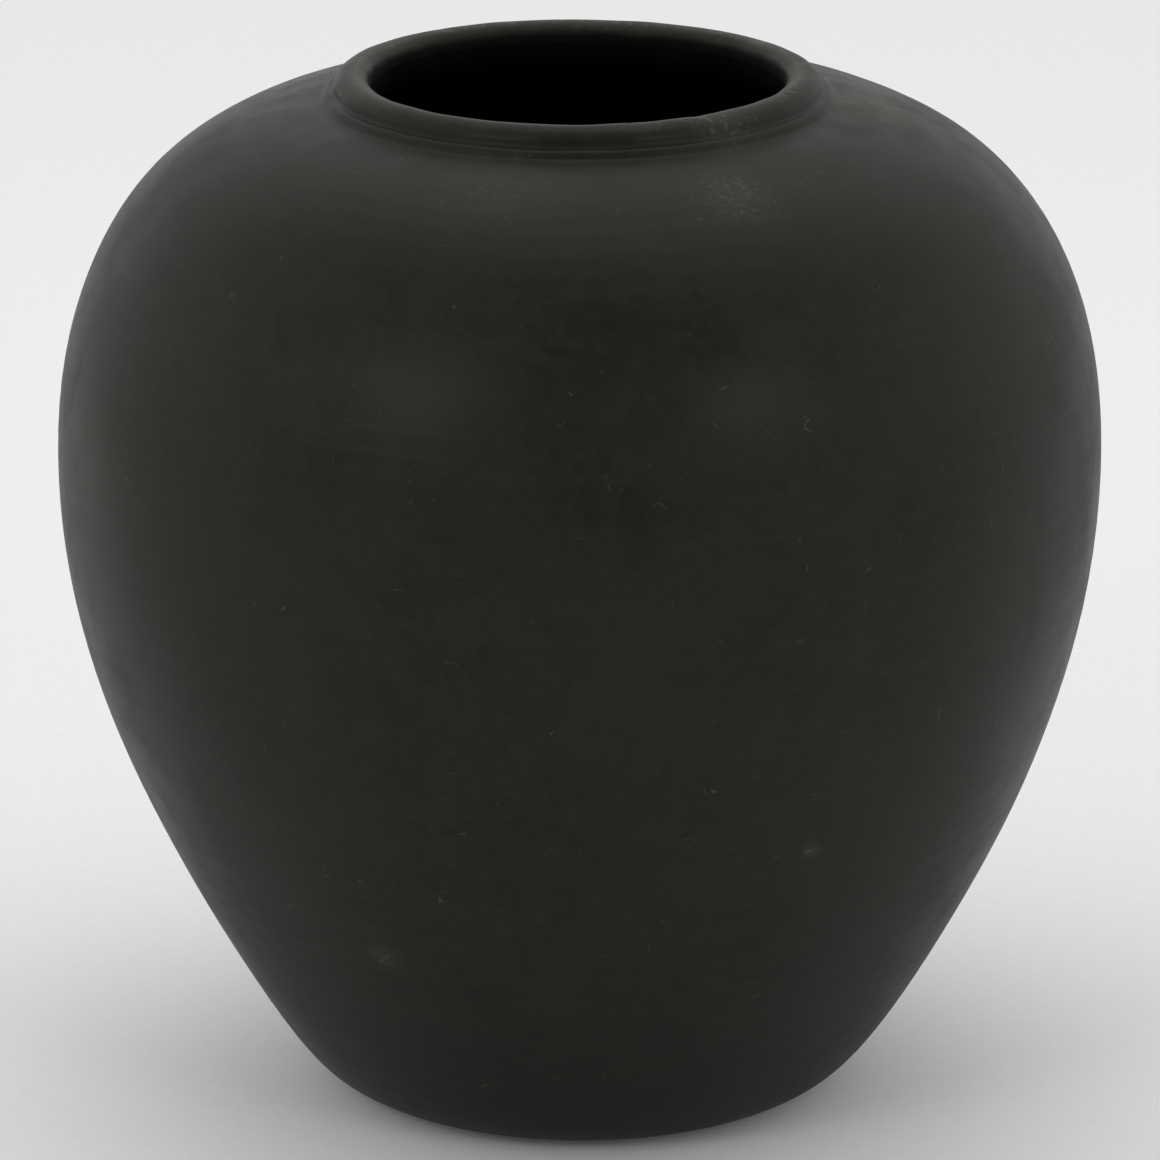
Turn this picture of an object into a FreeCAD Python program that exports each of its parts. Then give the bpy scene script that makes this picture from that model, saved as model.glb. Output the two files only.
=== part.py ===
import FreeCAD, Part

import math
import os

# A hand-built jar of fired black clay: a wide shoulder, a narrow foot and a low rolled rim.
# The clay is worked up from the base. Each roll is pulled into a band of wall and luted to the
# one below with a bevelled joint, and the rim is a collar and a lip roll set on top.
# Millimetres, +Z up. The origin is the centre of the flat base, and Z is the axis of the jar.

# Driving dimensions.
HEIGHT = 300.0            # base to the crest of the lip
BASE_RADIUS = 59.2        # the flat face that the jar stands on
HEEL_ROUND = 30.0         # the round between that face and the wall
HEEL_ANGLE = 45.0         # degrees, how far the heel turns before the wall starts
NECK_FOOT = (73.5, 292.0)  # radius and height where the shoulder meets the collar
NECK_FOOT_SLOPE = 9.0     # degrees, how much the shoulder still rises there
WALL = 8.0                # thickness of the wall and of the floor

# Handles of the smooth curve between the heel and the collar, as radius and height. The belly
# that they give is 150 in radius and 188 above the base.
HEEL_PULL = 7.0           # how far the first handle leads the curve on from the heel
FLARE_HANDLE = (97.4, 29.4)
LOWER_HANDLE = (150.3, 128.0)
UPPER_HANDLE = (154.6, 243.8)
NECK_PULL = 38.4          # how far the last handle holds the shoulder flat

# The joints between the bands of wall.
BAND_NAMES = (
    "foot_band",
    "lower_band",
    "flank_band",
    "belly_band",
    "upper_band",
    "shoulder_band",
    "crown_band",
)
BOWL_WALL = 46.0          # wall pulled up from the first lump, along the outside from the heel
LAP = 10.0                # how far each band is lapped down inside the one below
INNER_STATIONS = 16       # points that carry the inside of the wall

# The collar and the lip.
MOUTH_RADIUS = 59.0       # clear radius of the throat
LIP_WIDTH = 10.5          # across the rolled lip
LIP_CROWN = 4.35          # how far the crest stands above the widest part of the lip
LIP_BED = 1.8             # how deep the lip roll beds into the top of the collar
COLLAR_TOP = 294.6        # height of the ledge under the lip
GROOVE_ROUND = 1.0        # hollow where the bead at the collar's foot meets the shoulder
THROAT_EDGE = 293.0       # below this height the throat rounds away under the shoulder
THROAT_ROUND = 8.4

AXIS = FreeCAD.Vector(0, 0, 1)
OUT = FreeCAD.Vector(1, 0, 0)
ORIGIN = FreeCAD.Vector(0, 0, 0)


def point(radius, height):
    return FreeCAD.Vector(radius, 0, height)


def direction(degrees):
    """A unit vector in the plane of the section, turned up from straight out."""
    angle = math.radians(degrees)
    return point(math.cos(angle), math.sin(angle))


def line(start, end):
    return Part.LineSegment(start, end).toShape()


def arc(start, middle, end):
    return Part.Arc(start, middle, end).toShape()


def ring(edges):
    """The solid that a closed section makes when it turns about the axis of the jar."""
    return Part.Face(Part.Wire(edges)).revolve(ORIGIN, AXIS, 360)


# ---- the wall: an outside curve, and an inside one that stays a wall's thickness from it ----

heel_centre = point(BASE_RADIUS, HEEL_ROUND)
heel_end = heel_centre + direction(HEEL_ANGLE - 90) * HEEL_ROUND
neck_foot = point(*NECK_FOOT)

outside = Part.BSplineCurve()
outside.buildFromPoles(
    [
        heel_end,
        heel_end + direction(HEEL_ANGLE) * HEEL_PULL,
        point(*FLARE_HANDLE),
        point(*LOWER_HANDLE),
        point(*UPPER_HANDLE),
        neck_foot + direction(-NECK_FOOT_SLOPE) * NECK_PULL,
        neck_foot,
    ]
)


def on_outside(distance):
    """The outside curve's parameter at this distance along the wall from the heel."""
    return outside.parameterAtDistance(distance, outside.FirstParameter)


def through_wall(distance):
    """The point of the inside that faces the outside at this distance from the heel."""
    parameter = on_outside(distance)
    along = outside.tangent(parameter)[0]
    return outside.value(parameter) + point(-along.z, along.x) * WALL


wall_length = outside.length()
inside = Part.BSplineCurve()
inside.interpolate([through_wall(wall_length * i / (INNER_STATIONS - 1)) for i in range(INNER_STATIONS)])

# The throat rounds away into the inside of the crown.
throat_top = point(MOUTH_RADIUS, THROAT_EDGE)
throat_centre = throat_top + OUT * THROAT_ROUND
throat_foot = throat_centre - AXIS * THROAT_ROUND

# The lip roll lies in a shallow bed along the top of the collar.
lip_inner = point(MOUTH_RADIUS, COLLAR_TOP)
lip_outer = point(MOUTH_RADIUS + LIP_WIDTH, COLLAR_TOP)
lip_middle = (lip_inner + lip_outer) * 0.5


class LappedJoint:
    """A bevelled joint at a distance from the heel. It runs down through the wall by the lap."""

    def __init__(self, distance):
        self.outer_parameter = on_outside(distance)
        self.inner_parameter = inside.parameter(through_wall(distance - LAP))

    def edge(self):
        return line(outside.value(self.outer_parameter), inside.value(self.inner_parameter))


def collar_seat():
    """The bevel round the mouth of the crown, which the collar sits in like a plug."""
    return line(neck_foot, throat_foot)


def lip_bed():
    return arc(lip_inner, lip_middle - AXIS * LIP_BED, lip_outer)


# ---- the pieces ----


def base_bowl(top):
    """The first lump of clay, opened into the floor, the heel and the start of the wall."""
    heel_middle = direction(HEEL_ANGLE / 2 - 90)
    base_edge = point(BASE_RADIUS, 0)
    floor_edge = point(BASE_RADIUS, WALL)
    floor_centre = point(0, WALL)
    inside_start = inside.value(inside.FirstParameter)
    return ring(
        [
            line(ORIGIN, base_edge),
            arc(base_edge, heel_centre + heel_middle * HEEL_ROUND, heel_end),
            outside.toShape(outside.FirstParameter, top.outer_parameter),
            top.edge(),
            inside.toShape(inside.FirstParameter, top.inner_parameter),
            arc(inside_start, heel_centre + heel_middle * (HEEL_ROUND - WALL), floor_edge),
            line(floor_edge, floor_centre),
            line(floor_centre, ORIGIN),
        ]
    )


def wall_band(bottom, top):
    """One roll of clay, pulled up into the band of wall between two joints."""
    return ring(
        [
            outside.toShape(bottom.outer_parameter, top.outer_parameter),
            top.edge(),
            inside.toShape(bottom.inner_parameter, top.inner_parameter),
            bottom.edge(),
        ]
    )


def crown_band(bottom):
    """The last band, which closes in over the shoulder to the mouth."""
    return ring(
        [
            outside.toShape(bottom.outer_parameter, outside.LastParameter),
            collar_seat(),
            line(throat_foot, inside.value(inside.LastParameter)),
            inside.toShape(bottom.inner_parameter, inside.LastParameter),
            bottom.edge(),
        ]
    )


def neck_collar():
    """A ring set in the crown's bevelled mouth. Its foot is pressed out into a round bead."""
    groove_centre = neck_foot + direction(90 - NECK_FOOT_SLOPE) * GROOVE_ROUND
    groove_middle = groove_centre + direction(225 - NECK_FOOT_SLOPE / 2) * GROOVE_ROUND
    bead_foot = groove_centre - OUT * GROOVE_ROUND
    bead_round = COLLAR_TOP - bead_foot.z
    bead_centre = bead_foot - OUT * bead_round
    bead_top = bead_centre + AXIS * bead_round
    return ring(
        [
            collar_seat(),
            arc(neck_foot, groove_middle, bead_foot),
            arc(bead_foot, bead_centre + direction(45) * bead_round, bead_top),
            line(bead_top, lip_outer),
            lip_bed(),
            line(lip_inner, throat_top),
            arc(throat_top, throat_centre + direction(225) * THROAT_ROUND, throat_foot),
        ]
    )


def lip_roll():
    """The last roll of clay, smoothed round over the top of the mouth."""
    widest = HEIGHT - LIP_CROWN
    centre = point(lip_middle.x, widest)
    outer = point(lip_outer.x, widest)
    inner = point(lip_inner.x, widest)
    crest = Part.Ellipse(outer, centre + AXIS * LIP_CROWN, centre)
    return ring(
        [
            line(lip_outer, outer),
            Part.ArcOfEllipse(crest, 0, math.pi).toShape(),
            line(inner, lip_inner),
            lip_bed(),
        ]
    )


band_length = (wall_length - BOWL_WALL) / len(BAND_NAMES)
joints = [LappedJoint(BOWL_WALL + band_length * i) for i in range(len(BAND_NAMES))]

pieces = {"base_bowl": base_bowl(joints[0])}
for name, bottom, top in zip(BAND_NAMES, joints, joints[1:]):
    pieces[name] = wall_band(bottom, top)
pieces[BAND_NAMES[-1]] = crown_band(joints[-1])
pieces["neck_collar"] = neck_collar()
pieces["lip_roll"] = lip_roll()

os.makedirs("parts", exist_ok=True)
for name, solid in pieces.items():
    solid.exportStep(f"parts/{name}.step")
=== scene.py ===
import math

import bpy
import numpy as np
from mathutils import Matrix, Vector


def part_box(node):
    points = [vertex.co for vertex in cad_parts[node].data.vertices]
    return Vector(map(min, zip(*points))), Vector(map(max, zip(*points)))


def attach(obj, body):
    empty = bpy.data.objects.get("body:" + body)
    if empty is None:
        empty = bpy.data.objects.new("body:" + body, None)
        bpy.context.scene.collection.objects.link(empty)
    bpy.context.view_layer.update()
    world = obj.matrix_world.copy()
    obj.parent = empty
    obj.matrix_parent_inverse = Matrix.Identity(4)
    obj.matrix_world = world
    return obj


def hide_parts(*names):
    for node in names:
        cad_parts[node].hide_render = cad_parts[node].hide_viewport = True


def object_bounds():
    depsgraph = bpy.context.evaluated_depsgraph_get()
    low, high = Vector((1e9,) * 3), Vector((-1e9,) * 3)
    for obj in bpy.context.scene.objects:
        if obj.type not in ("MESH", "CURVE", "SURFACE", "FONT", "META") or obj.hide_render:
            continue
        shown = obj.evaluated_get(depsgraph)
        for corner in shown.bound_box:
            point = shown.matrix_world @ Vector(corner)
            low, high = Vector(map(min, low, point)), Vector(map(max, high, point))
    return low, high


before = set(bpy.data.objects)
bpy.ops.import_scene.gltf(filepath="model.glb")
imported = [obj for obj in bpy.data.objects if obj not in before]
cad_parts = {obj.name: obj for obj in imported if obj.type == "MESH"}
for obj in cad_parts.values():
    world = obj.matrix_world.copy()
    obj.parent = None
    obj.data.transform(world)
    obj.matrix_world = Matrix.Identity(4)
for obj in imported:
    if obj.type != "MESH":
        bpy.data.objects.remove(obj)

# A hand-built jar of black clay on a pale studio floor. Metres, +Z up, front towards -Y.
#
# Each CAD ring is replaced by a piece with the same section, worked as a potter's hand leaves it.
# All the pieces are cut from one surface that runs from the underside over the rim and down to the
# floor of the jar, so the luted joints between them don't show, as on the real one.

cad_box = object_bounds()
HEIGHT = cad_box[1].z
MM = 0.001

# How finely each part of the surface is divided.
COLUMNS = 576
RIM_STEP = 0.4 * MM
OUTER_STEP = 1.0 * MM
INNER_STEP = 2.0 * MM
RIM_PIECES = ("neck_collar", "lip_roll")

# What hands and turning left on the clay.
RUB_REACH = 0.8 * MM         # how far round each corner of the rim is rubbed
RING_STEP = 7 * MM           # smoothing rings on the outside
RING_DEPTH = 0.03 * MM
FINGER_STEP = 15 * MM        # finger rings on the inside
FINGER_DEPTH = 0.35 * MM
WALL_UNEVENNESS = 0.12 * MM
RIM_UNEVENNESS = 0.07 * MM
LIP_TILT = 0.2 * MM          # how far the lip rises and falls round the jar
FOOT_HOLLOW = 0.8 * MM       # how far the underside is scraped in
SCRAPING_DEPTH = 0.05 * MM
CHIP_SIZES = (0.6 * MM, 1.8 * MM)
CHIP_DEPTHS = (0.08, 0.22)   # as a share of the chip's size

# How the hand-built jar leans: height and sideways shift, in mm.
LEAN = ((0, 0.5), (50, 1.1), (100, 0.6), (190, -0.1), (265, 0.1), (300, -0.8))

# Patches made pale: rubbed wear, and the one on the lip at 36 degrees partly a painted highlight.
# Azimuth from the front in degrees, height and size in mm, and strength.
RUBBED_AND_HIGHLIGHT_PATCHES = (
    (26, 286, 11, 0.7),
    (-14, 288, 16, 0.25),
    (88, 290, 11, 1.0),
    (-70, 196, 24, 0.3),
    (-28, 71, 4, 0.6),
    (28, 107, 2, 0.9),
    (36, 299.8, 9, 1.0),
    (-122, 299, 8, 0.8),
    (123, 299, 6, 0.7),
)

# The clay. Colours are linear RGB.
CLAY_DARK = (0.0145, 0.0152, 0.0122)
CLAY_PALE = (0.0205, 0.0213, 0.0172)
CLAY_DUSTY = (0.032, 0.0325, 0.028)
# The pale of rubbed wear, which on the lip also paints a highlight.
CLAY_WEAR_AND_HIGHLIGHT = (0.23, 0.23, 0.198)
# Painted shade: near-black colours for the inside of the jar and of the lip, where only shade falls.
PAINTED_SHADE_DARK = (0.0020, 0.0020, 0.0018)
PAINTED_SHADE_PALE = (0.0060, 0.0060, 0.0055)
CLAY_ROUGHNESS = 0.34
CLOUD_SIZE = 55 * MM
SMUDGE_SIZE = 14 * MM
MOTTLE_SIZE = 3.5 * MM
WIPING_SIZE = 2.4 * MM       # across the lines that a wet hand leaves
WIPING_STRETCH = 0.02        # how slowly those lines change along their length
CRUMB_SIZE = 1.8 * MM        # what a rubbed patch breaks up into
GRAIN_SIZE = 0.7 * MM
PAINTED_SHADE_START = 4 * MM          # how far past the crest of the lip the painted shade begins
PAINTED_SHADE_FULL = 7 * MM

# The studio. The camera and its lens were fitted to the outline of the jar in the photo.
PAPER_DARK = (0.86, 0.86, 0.86)
PAPER_PALE = (0.91, 0.91, 0.91)
PAPER_GLOW = 0.06            # a lit table, which keeps the shadow soft
FLOOR_REACH = 6.0
FRONT_WALL_LIGHT = 0.22
BACK_WALL_LIGHT = 0.98
VIEW_GAMMA = 0.8             # darkens the middle greys, to come nearer to the photo's
CAMERA_DISTANCE = 2.174
CAMERA_HEIGHT_ANGLE = math.radians(17.3)
AIM_HEIGHT = 0.495 * HEIGHT
SENSOR_WIDTH = 36
LENS = 232.76


# ---- the section of the CAD rings ----

ON_PLANE = 0.001 * MM        # how near to the plane of the section its corners lie
DECIMALS = 5                 # points that agree to a hundredth of a millimetre are the same


def section_edges(node):
    """A CAD ring's mesh edges in the half-plane y = 0, x > 0, as pairs of (radius, height)."""
    mesh = node.data
    corners = [tuple(vertex.co) for vertex in mesh.vertices]
    found = set()
    for edge in mesh.edges:
        ends = [corners[i] for i in edge.vertices]
        if all(abs(y) < ON_PLANE and x > 0 for x, y, z in ends):
            pair = frozenset((round(x, DECIMALS), round(z, DECIMALS)) for x, y, z in ends)
            if len(pair) == 2:
                found.add(pair)
    return found


def trace_surface(nodes):
    """The jar's own surface in section, from the edge of its underside over the rim and down to
    the edge of its floor. Returns the points and the CAD node that each stretch belongs to."""
    owners = {}
    for name, node in nodes.items():
        for edge in section_edges(node):
            owners.setdefault(edge, []).append(name)
    # An edge that two rings share is a joint inside the clay.
    open_edges = {edge: names[0] for edge, names in owners.items() if len(names) == 1}
    beside = {}
    for edge in open_edges:
        for point in edge:
            beside.setdefault(point, []).append(edge)
    points = [min((p for p in beside if len(beside[p]) == 1), key=lambda p: p[1])]
    names = []
    while open_edges:
        edge = next((e for e in beside[points[-1]] if e in open_edges), None)
        if edge is None:
            raise RuntimeError("the CAD sections don't join up into one surface")
        names.append(open_edges.pop(edge))
        points.append(next(p for p in edge if p != points[-1]))
    return np.array(points), names


def smooth_tangents(points):
    """The direction of a smooth curve at each of its points, level at both ends."""
    chords = np.diff(points, axis=0)
    tangents = np.zeros_like(points)
    tangents[1:-1] = chords[:-1] + chords[1:]
    tangents[0] = (1, 0)
    tangents[-1] = (-1, 0)
    return tangents / np.linalg.norm(tangents, axis=1, keepdims=True)


def curve_between(start, end, leave, arrive, step):
    """Points of the smooth curve from start up to end, end itself left out."""
    length = np.linalg.norm(end - start)
    count = max(1, math.ceil(length / step))
    t = (np.arange(count) / count)[:, None]
    pull_start = start + leave * length / 3
    pull_end = end - arrive * length / 3
    return (
        start * (1 - t) ** 3
        + pull_start * 3 * t * (1 - t) ** 2
        + pull_end * 3 * t**2 * (1 - t)
        + end * t**3
    )


def surface_rows(nodes):
    """The rows of the jar's surface as (radius, height), from the middle of the underside to the
    middle of the floor, and for each piece the stretches of rows that it covers."""
    points, names = trace_surface(nodes)
    tangents = smooth_tangents(points)
    level_out = np.array((1.0, 0.0))
    middle = points[0] * (0, 1)
    rows = [curve_between(middle, points[0], level_out, level_out, INNER_STEP)]
    made = len(rows[0])
    stretches = [[names[0], 0, made]]
    for i, name in enumerate(names):
        if name != stretches[-1][0]:
            stretches.append([name, made, made])
        first_visit = name not in [s[0] for s in stretches[:-1]]
        step = RIM_STEP if name in RIM_PIECES else OUTER_STEP if first_visit else INNER_STEP
        rows.append(curve_between(points[i], points[i + 1], tangents[i], tangents[i + 1], step))
        made += len(rows[-1])
        stretches[-1][2] = made
    middle = points[-1] * (0, 1)
    rows.append(curve_between(points[-1], middle, -level_out, -level_out, INNER_STEP))
    rows.append(middle[None])
    stretches[-1][2] = made + len(rows[-2])
    return np.vstack(rows), stretches


def fade(values, low, high):
    """0 below low, 1 above high, and smooth between. It falls if low is above high."""
    t = np.clip((values - low) / (high - low), 0, 1)
    return t * t * (3 - 2 * t)


def rub_soft(rows, walk):
    """The section with the corners of the rim rubbed round, as wet fingers leave them."""
    weights = np.exp(-0.5 * ((walk[:, None] - walk) / RUB_REACH) ** 2) * np.gradient(walk)
    rubbed = weights @ rows / weights.sum(axis=1, keepdims=True)
    share = fade(rows[:, 1], collar_foot - 8 * MM, collar_foot - 2 * MM)[:, None]
    return rows + share * (rubbed - rows)


collar_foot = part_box("crown_band")[1].z
rows, stretches = surface_rows(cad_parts)
walk = np.concatenate(([0], np.cumsum(np.linalg.norm(np.diff(rows, axis=0), axis=1))))
rows = rub_soft(rows, walk)
radius = rows[:, 0]
height = rows[:, 1]
ahead = np.gradient(rows, axis=0)
ahead /= np.linalg.norm(ahead, axis=1, keepdims=True)
outward = np.stack((ahead[:, 1], -ahead[:, 0]), axis=1)
crest_row = int(np.argmax(height))
past_crest = walk - walk[crest_row]

angle = np.linspace(0, 2 * math.pi, COLUMNS, endpoint=False)
round_about = np.stack((np.cos(angle), np.sin(angle), np.zeros(COLUMNS)), axis=1)
UP = np.array((0.0, 0.0, 1.0))


def on_rings(pairs):
    """(radius, height) of each row turned into points or directions all the way round."""
    return pairs[:, None, 0, None] * round_about[None] + pairs[:, None, 1, None] * UP


smooth_surface = on_rings(rows)
out_of_clay = on_rings(outward)


# ---- what the potter's hands left on it ----


def waves(points, spacing, seed, count=18):
    """Smooth random unevenness of this spacing, mostly between -1 and 1."""
    random = np.random.default_rng(seed)
    directions = random.normal(size=(count, 3))
    directions *= 2 * math.pi / spacing / np.linalg.norm(directions, axis=1, keepdims=True)
    starts = random.uniform(0, 2 * math.pi, count)
    total = sum(np.cos(points @ d + start) for d, start in zip(directions, starts))
    return total / math.sqrt(count)


is_outside = np.arange(len(rows)) <= crest_row
is_under = is_outside & (height < 0.01 * MM)
base_edge = radius[is_under].max()
under = is_under.astype(float)
on_wall = fade(height, 6 * MM, 20 * MM) * fade(height, collar_foot, collar_foot - 6 * MM)
on_rim = fade(height, collar_foot - 5 * MM, collar_foot - 1 * MM)
outer_wall = (on_wall * is_outside)[:, None]
inner_wall = fade(past_crest, 20 * MM, 45 * MM)[:, None]


def smoothing_rings():
    """Faint rings left by wet fingers as the jar was turned."""
    turn = walk[:, None] / RING_STEP + 0.35 * waves(smooth_surface, 90 * MM, seed=3)
    strength = 0.5 + 0.4 * waves(smooth_surface, 70 * MM, seed=4)
    return np.clip(strength, 0, 1) * np.cos(2 * math.pi * turn)


def finger_rings():
    """Deeper rings on the inside, which nobody smoothed."""
    turn = walk[:, None] / FINGER_STEP + 0.5 * waves(smooth_surface, 110 * MM, seed=5)
    return np.cos(2 * math.pi * turn) + 0.4 * waves(smooth_surface, 12 * MM, seed=6)


def spot(centre, size):
    """1 at this point of the surface, and fading away round it over about this size."""
    distance = np.linalg.norm(smooth_surface - centre, axis=2)
    return np.exp(-((distance / size) ** 2))


def lip_chips(count=26):
    """Nicks along the lip, mostly tiny."""
    random = np.random.default_rng(11)
    _, first, last = next(s for s in stretches if s[0] == "lip_roll")
    clear = 6                    # rows kept clear of the joint on each side
    lip_rows = random.integers(first + clear, last - clear, count)
    places = lip_rows, random.integers(0, COLUMNS, count)
    sizes = random.uniform(*CHIP_SIZES, count)
    depths = sizes * random.uniform(*CHIP_DEPTHS, count)
    chips = zip(smooth_surface[places], sizes, depths)
    return sum(depth * spot(centre, size) for centre, size, depth in chips)


def turned_underside():
    """The underside is scraped a little hollow, so that the jar stands on the edge of it."""
    hollow = fade(radius, base_edge, 0.3 * base_edge) * FOOT_HOLLOW
    scraping = fade(radius, base_edge, 0.8 * base_edge) * SCRAPING_DEPTH
    ripple = 1 + waves(smooth_surface * (0.2, 0.2, 0) + radius[:, None, None], 5 * MM, seed=7)
    return under[:, None] * (hollow[:, None] + scraping[:, None] * ripple)


def on_surface(azimuth, level):
    """The point of the outside at this azimuth from the front, in degrees, and height, in mm."""
    row = int(np.argmin(np.abs(height[:crest_row] - level * MM) + under[:crest_row]))
    column = int(round((azimuth - 90) / 360 * COLUMNS)) % COLUMNS
    return smooth_surface[row, column]


def wear_and_highlight_places():
    """Where the dark skin is made pale: rubbed wear at the edge of the foot and in a few patches, and
    on the lip wear together with a painted highlight.
    """
    # On the lip the pale band is partly wear and partly a painted highlight along its edge.
    lip_wear = fade(waves(smooth_surface, 45 * MM, seed=8), 0.3, 1.4)
    top_of_lip = fade(height, HEIGHT - 3.5 * MM, HEIGHT - 0.5 * MM)
    lip_edge = np.exp(-(((past_crest - 1.0 * MM) / (1.2 * MM)) ** 2))
    foot_edge = fade(radius, 0.8 * base_edge, 0.97 * base_edge) * under
    edges = (lip_edge + foot_edge)[:, None]
    patches = sum(
        strength * spot(on_surface(azimuth, level), size * MM)
        for azimuth, level, size, strength in RUBBED_AND_HIGHLIGHT_PATCHES
    )
    return np.clip(0.5 * top_of_lip[:, None] * lip_wear + edges + patches, 0, 1)


def painted_shade_places():
    """Painted shade: the colour turns near black past the lip, where the inside lies in shade, along
    an uneven edge.
    """
    edge = 0.2 * MM * waves(smooth_surface, 10 * MM, seed=9)
    return fade(past_crest[:, None] + edge, PAINTED_SHADE_START, PAINTED_SHADE_FULL)


push = (
    outer_wall * RING_DEPTH * smoothing_rings()
    + outer_wall * WALL_UNEVENNESS * waves(smooth_surface, 60 * MM, seed=1)
    + inner_wall * FINGER_DEPTH * finger_rings()
    + on_rim[:, None] * RIM_UNEVENNESS * waves(smooth_surface, 14 * MM, seed=2)
    - turned_underside()
    - lip_chips()
)
surface = smooth_surface + out_of_clay * push[..., None]

# The jar leans a little, and its lip isn't quite level.
lean = np.polynomial.Polynomial.fit(*zip(*LEAN), deg=4)
surface[..., 0] += MM * lean(smooth_surface[..., 2] / MM)
surface[..., 2] += on_rim[:, None] * LIP_TILT * np.cos(2 * angle + 0.8)[None]

# Pale wear, on the lip partly a painted highlight, and painted shade past the lip, carried on the
# vertices to the material.
marks = {"wear_and_highlight": wear_and_highlight_places(), "painted_shade": painted_shade_places()}

# Normals of the whole surface, so that the shading runs on from piece to piece.
along = np.gradient(surface, axis=0)
across = np.roll(surface, -1, axis=1) - np.roll(surface, 1, axis=1)
normals = np.cross(across, along)
normals[[0, -1]] = on_rings(outward[[0, -1]])
normals /= np.linalg.norm(normals, axis=2, keepdims=True)


# ---- materials ----


def add(tree, kind, inputs=None, **settings):
    """A new node with its settings, and with a value or a link for each input."""
    made = tree.nodes.new("ShaderNode" + kind)
    for name, value in settings.items():
        setattr(made, name, value)
    for name, value in (inputs or {}).items():
        if isinstance(value, bpy.types.NodeSocket):
            tree.links.new(value, made.inputs[name])
        else:
            made.inputs[name].default_value = value
    return made


def noise(tree, place, size, detail=4.0, roughness=0.55):
    """Cloudy noise with features of about this size in metres."""
    inputs = {"Vector": place, "Scale": 1 / size, "Detail": detail, "Roughness": roughness}
    return add(tree, "TexNoise", inputs).outputs["Fac"]


def rise(tree, value, low, high, top=1.0):
    """0 while the value is below low, and top once it is above high."""
    inputs = {"Value": value, "From Min": low, "From Max": high, "To Min": 0.0, "To Max": top}
    return add(tree, "MapRange", inputs, interpolation_type="SMOOTHSTEP").outputs["Result"]


def combine(tree, operation, *values):
    """One arithmetic step on sockets or numbers."""
    return add(tree, "Math", dict(enumerate(values)), operation=operation).outputs["Value"]


def colours(tree, factor, first, second):
    """A mix of two colours, each a linear RGB triple or a socket."""
    made = add(tree, "Mix", {0: factor}, data_type="RGBA")
    for socket, colour in ((6, first), (7, second)):
        if isinstance(colour, bpy.types.NodeSocket):
            tree.links.new(colour, made.inputs[socket])
        else:
            made.inputs[socket].default_value = (*colour, 1)
    return made.outputs[2]


def added(tree, *values):
    """The sum of sockets or numbers."""
    result = values[0]
    for value in values[1:]:
        result = combine(tree, "ADD", result, value)
    return result


def times(tree, first, second):
    """The product of two sockets or numbers."""
    return combine(tree, "MULTIPLY", first, second)


def new_material(name):
    """A new material's node tree, its main shader, and the place on the object."""
    material = bpy.data.materials.new(name)
    material.use_nodes = True
    tree = material.node_tree
    place = add(tree, "TexCoord").outputs["Object"]
    return material, tree, tree.nodes["Principled BSDF"], place


def add_bump(tree, shader, relief, strength, depth):
    """Fine relief on the shader's normal."""
    inputs = {"Height": relief, "Strength": strength, "Distance": depth}
    tree.links.new(add(tree, "Bump", inputs).outputs["Normal"], shader.inputs["Normal"])


def wiping_marks(tree, place):
    """Fine lines that run round the jar, where a wet hand wiped it as it turned."""
    x, y, z = add(tree, "SeparateXYZ", {"Vector": place}).outputs
    out = combine(tree, "SQRT", added(tree, times(tree, x, x), times(tree, y, y)))
    # The noise is stretched round the jar, and steps up the wall and in over the shoulder.
    stretched = {
        "X": times(tree, x, WIPING_STRETCH),
        "Y": times(tree, y, WIPING_STRETCH),
        "Z": added(tree, z, times(tree, out, 0.7)),
    }
    stretched_place = add(tree, "CombineXYZ", stretched).outputs["Vector"]
    return noise(tree, stretched_place, WIPING_SIZE, detail=3.0)


def specks(tree, place):
    """Sparse pale grains of grit, each of its own brightness."""
    cells = add(tree, "TexVoronoi", {"Vector": place, "Scale": 240.0})
    chance = add(tree, "SeparateColor", {"Color": cells.outputs["Color"]}).outputs["Red"]
    near = rise(tree, cells.outputs["Distance"], 0.10, 0.03)
    return times(tree, rise(tree, chance, 0.86, 1.0), near)


def scratches(tree, place, rubbed):
    """Thin curved scratches: contour lines of a smooth noise, broken up by a finer one. They lie
    closer together where the clay is rubbed."""
    off_line = combine(tree, "SUBTRACT", noise(tree, place, 9 * MM, detail=1.0), 0.5)
    line = rise(tree, combine(tree, "ABSOLUTE", off_line), 0.010, 0.002)
    broken = added(tree, noise(tree, place, 4 * MM, detail=1.0), times(tree, rubbed, 0.16))
    return times(tree, line, rise(tree, broken, 0.65, 0.72))


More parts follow.
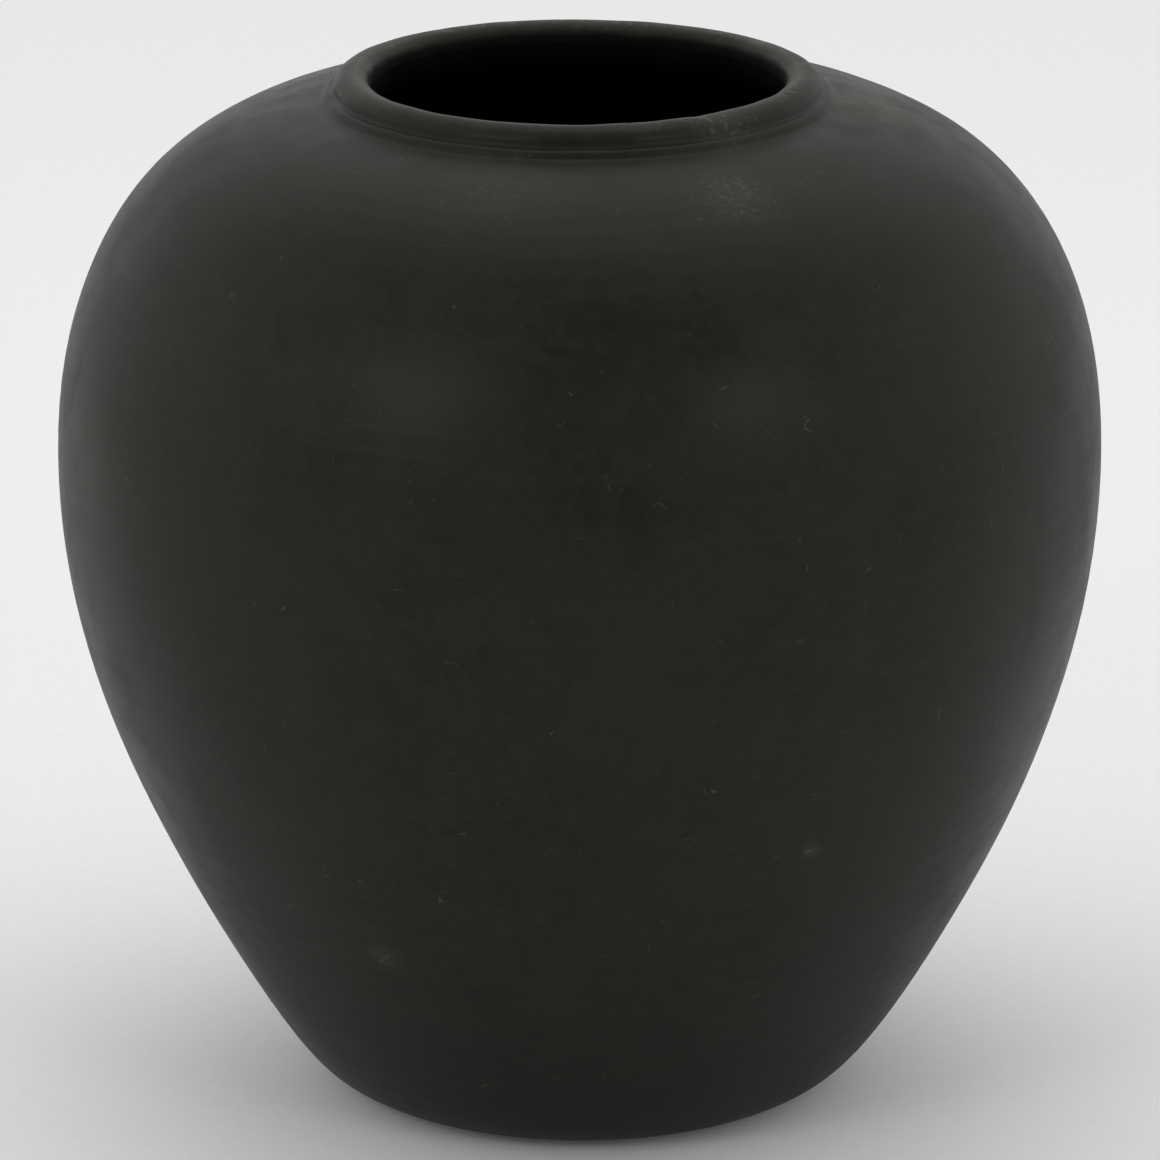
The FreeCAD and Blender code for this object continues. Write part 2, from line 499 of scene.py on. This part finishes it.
def smoothed_clay():
    """The outside: charcoal clay wiped smooth, unglazed and matt, rubbed pale here and there, with a
    painted highlight along the lip and painted shade past it.
    """
    material, tree, shader, place = new_material("smoothed_clay")
    # Mask of pale wear, which on the lip is partly a painted highlight.
    rubbed = add(tree, "Attribute", attribute_name="wear_and_highlight").outputs["Fac"]
    # Mask of painted shade past the lip.
    painted_shade = add(tree, "Attribute", attribute_name="painted_shade").outputs["Fac"]
    wiped = wiping_marks(tree, place)
    cloud = rise(tree, noise(tree, place, CLOUD_SIZE, detail=5.0), 0.35, 0.7)
    smudges = rise(tree, noise(tree, place, SMUDGE_SIZE, detail=3.0), 0.4, 0.75, 0.3)
    fine = noise(tree, place, MOTTLE_SIZE, detail=6.0)
    grains = noise(tree, place, GRAIN_SIZE, detail=2.0)
    crumbs = rise(tree, noise(tree, place, CRUMB_SIZE, detail=6.0, roughness=0.7), 0.5, 0.62)
    scuffs_and_highlight = times(tree, rubbed, combine(tree, "MAXIMUM", crumbs, 0.3))
    scores = combine(tree, "MAXIMUM", specks(tree, place), scratches(tree, place, rubbed))

    tone = colours(tree, cloud, CLAY_DARK, CLAY_PALE)
    tone = colours(tree, smudges, tone, CLAY_DUSTY)
    tone = colours(tree, rise(tree, fine, 0.35, 0.75, 0.35), tone, CLAY_DUSTY)
    tone = colours(tree, rise(tree, wiped, 0.5, 0.75, 0.25), tone, CLAY_DUSTY)
    # Pale wear mixed in, on the lip partly a painted highlight.
    tone = colours(tree, times(tree, scuffs_and_highlight, 0.5), tone, CLAY_WEAR_AND_HIGHLIGHT)
    tone = colours(tree, times(tree, scores, 0.2), tone, CLAY_WEAR_AND_HIGHLIGHT)
    # Painted shade: near black past the lip, where the inside lies in shade.
    tree.links.new(colours(tree, painted_shade, tone, PAINTED_SHADE_DARK), shader.inputs["Base Color"])

    uneven = added(tree, cloud, fine, times(tree, smudges, 2.0))
    duller = added(tree, times(tree, uneven, 0.08), times(tree, scuffs_and_highlight, 0.15), times(tree, painted_shade, 0.4))
    tree.links.new(added(tree, duller, CLAY_ROUGHNESS), shader.inputs["Roughness"])

    relief = added(tree, times(tree, grains, 0.5), wiped, times(tree, scores, -1.5))
    add_bump(tree, shader, relief, 0.25, 0.05 * MM)
    shader.inputs["Specular IOR Level"].default_value = 0.3
    shader.inputs["Specular Tint"].default_value = (0.97, 1.0, 0.88, 1)
    return material


def raw_clay_painted_shade():
    """The inside: gritty and never smoothed, coloured near black as painted shade."""
    material, tree, shader, place = new_material("raw_clay_painted_shade")
    # Painted shade: the inside is coloured near black, mottled a little, for the shade it lies in.
    painted_shade = rise(tree, noise(tree, place, 30 * MM, detail=6.0), 0.3, 0.7)
    tree.links.new(colours(tree, painted_shade, PAINTED_SHADE_DARK, PAINTED_SHADE_PALE), shader.inputs["Base Color"])
    add_bump(tree, shader, noise(tree, place, 1.2 * MM, detail=3.0), 0.5, 0.3 * MM)
    shader.inputs["Roughness"].default_value = 0.85
    shader.inputs["Specular IOR Level"].default_value = 0.1
    return material


def pale_paper():
    """The studio floor: matt white paper with faint fibres."""
    material, tree, shader, place = new_material("pale_paper")
    fibres = noise(tree, place, 4 * MM, detail=6.0)
    tree.links.new(colours(tree, fibres, PAPER_DARK, PAPER_PALE), shader.inputs["Base Color"])
    add_bump(tree, shader, fibres, 0.1, 0.1 * MM)
    shader.inputs["Roughness"].default_value = 0.9
    shader.inputs["Emission Color"].default_value = (1, 1, 1, 1)
    shader.inputs["Emission Strength"].default_value = PAPER_GLOW
    return material


clay = smoothed_clay()
clay_inside = raw_clay_painted_shade()


# ---- the pieces ----


def band_faces(columns_of_rows):
    """Quads between each row of vertex numbers and the next, all the way round."""
    lower = columns_of_rows[:-1]
    upper = columns_of_rows[1:]
    corners = (lower, np.roll(lower, -1, axis=1), np.roll(upper, -1, axis=1), upper)
    return np.stack(corners, axis=-1).reshape(-1, 4)


def build_piece(name, parts):
    """One clay ring: its stretches of the surface, closed by the joint faces between them."""
    column = np.arange(COLUMNS)[None]
    places = []
    skins = []
    made = 0
    for first, last in parts:
        # A row on the axis is a single vertex.
        counts = np.where(radius[first : last + 1] > 0, COLUMNS, 1)[:, None]
        skins.append(made + np.cumsum(counts)[:, None] - counts + column % counts)
        inside_rows, columns = np.nonzero(column < counts)
        places.append((inside_rows + first, columns))
        made += len(columns)
    places = tuple(np.concatenate(numbers) for numbers in zip(*places))

    joints = [band_faces(np.stack((a[-1], b[0]))) for a, b in zip(skins, skins[1:] + skins[:1])]
    if parts[0][0] == 0:
        joints = joints[:1]
    joint_faces = np.vstack(joints)
    quads = np.vstack([band_faces(s) for s in skins] + joints).tolist()
    # Round an axis vertex the quads have two equal corners, and become triangles.
    faces = [list(dict.fromkeys(quad)) for quad in quads]

    mesh = bpy.data.meshes.new(name)
    mesh.from_pydata(surface[places], [], faces)
    mesh.shade_smooth()
    loop_normals = normals[places][[number for face in faces for number in face]]
    corner = surface[places][joint_faces]
    flat = np.cross(corner[:, 2] - corner[:, 0], corner[:, 3] - corner[:, 1])
    flat /= np.linalg.norm(flat, axis=1, keepdims=True)
    loop_normals[-joint_faces.size :] = np.repeat(flat, 4, axis=0)
    mesh.normals_split_custom_set(loop_normals)

    for mark, strength in marks.items():
        attribute = mesh.attributes.new(mark, "FLOAT", "POINT")
        attribute.data.foreach_set("value", strength[places].astype(np.float32))
    mesh.materials.append(clay)
    mesh.materials.append(clay_inside)
    # The first stretch of every piece is its outside.
    outside_faces = len(band_faces(skins[0]))
    is_inside = np.arange(len(faces)) >= outside_faces
    mesh.polygons.foreach_set("material_index", is_inside.astype(int))

    piece = bpy.data.objects.new("clay_" + name, mesh)
    bpy.context.scene.collection.objects.link(piece)
    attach(piece, "root")
    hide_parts(name)


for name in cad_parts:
    build_piece(name, [(first, last) for owner, first, last in stretches if owner == name])


# ---- the studio ----


def studio_floor():
    """A wide level floor, at the height of the jar's foot."""
    mesh = bpy.data.meshes.new("studio_floor")
    corners = [(x * FLOOR_REACH, y * FLOOR_REACH, 0) for x, y in ((-1, -1), (1, -1), (1, 1), (-1, 1))]
    mesh.from_pydata(corners, [], [(0, 1, 2, 3)])
    floor = bpy.data.objects.new("studio_floor", mesh)
    bpy.context.scene.collection.objects.link(floor)
    mesh.materials.append(pale_paper())


def soft_light(name, azimuth, elevation, distance, size, watts):
    """A square softbox that faces the jar from this direction. Azimuth 0 is the camera's side."""
    a = math.radians(azimuth)
    e = math.radians(elevation)
    data = bpy.data.lights.new(name, "AREA")
    data.shape = "SQUARE"
    data.size = size
    data.energy = watts
    light = bpy.data.objects.new(name, data)
    away = np.array((math.sin(a) * math.cos(e), -math.cos(a) * math.cos(e), math.sin(e)))
    light.location = away * distance + UP * HEIGHT / 2
    aim(light)
    bpy.context.scene.collection.objects.link(light)


def aim(thing):
    """Turns a light or camera to face the middle of the jar."""
    towards = Vector((0, 0, AIM_HEIGHT)) - thing.location
    thing.rotation_euler = towards.to_track_quat("-Z", "Y").to_euler()


def camera():
    """The photo's view: from the front, and a little from above."""
    data = bpy.data.cameras.new("camera")
    data.sensor_width = SENSOR_WIDTH
    data.lens = LENS
    made = bpy.data.objects.new("camera", data)
    made.location = (
        0,
        -CAMERA_DISTANCE * math.cos(CAMERA_HEIGHT_ANGLE),
        AIM_HEIGHT + CAMERA_DISTANCE * math.sin(CAMERA_HEIGHT_ANGLE),
    )
    aim(made)
    bpy.context.scene.collection.objects.link(made)
    bpy.context.scene.camera = made


def studio_world():
    """White walls all round, dimmer on the camera's side."""
    world = bpy.data.worlds.new("studio")
    world.use_nodes = True
    tree = world.node_tree
    direction = add(tree, "TexCoord").outputs["Generated"]
    towards_back = add(tree, "SeparateXYZ", {"Vector": direction}).outputs["Y"]
    step_up = rise(tree, towards_back, -1.0, 0.1, BACK_WALL_LIGHT - FRONT_WALL_LIGHT)
    strength = added(tree, step_up, FRONT_WALL_LIGHT)
    tree.links.new(strength, tree.nodes["Background"].inputs["Strength"])
    tree.nodes["Background"].inputs["Color"].default_value = (1, 1, 1, 1)
    bpy.context.scene.world = world


studio_floor()
studio_world()
soft_light("left_softbox", azimuth=-85, elevation=20, distance=1.7, size=1.2, watts=1.2)
soft_light("right_softbox", azimuth=85, elevation=20, distance=1.7, size=1.2, watts=1.2)
soft_light("front_left_softbox", azimuth=-38, elevation=28, distance=1.9, size=0.6, watts=5)
soft_light("front_right_softbox", azimuth=38, elevation=24, distance=1.9, size=0.6, watts=4)
soft_light("top_softbox", azimuth=180, elevation=72, distance=1.9, size=1.3, watts=2.2)
camera()
bpy.context.scene.view_settings.view_transform = "Standard"
bpy.context.scene.view_settings.gamma = VIEW_GAMMA
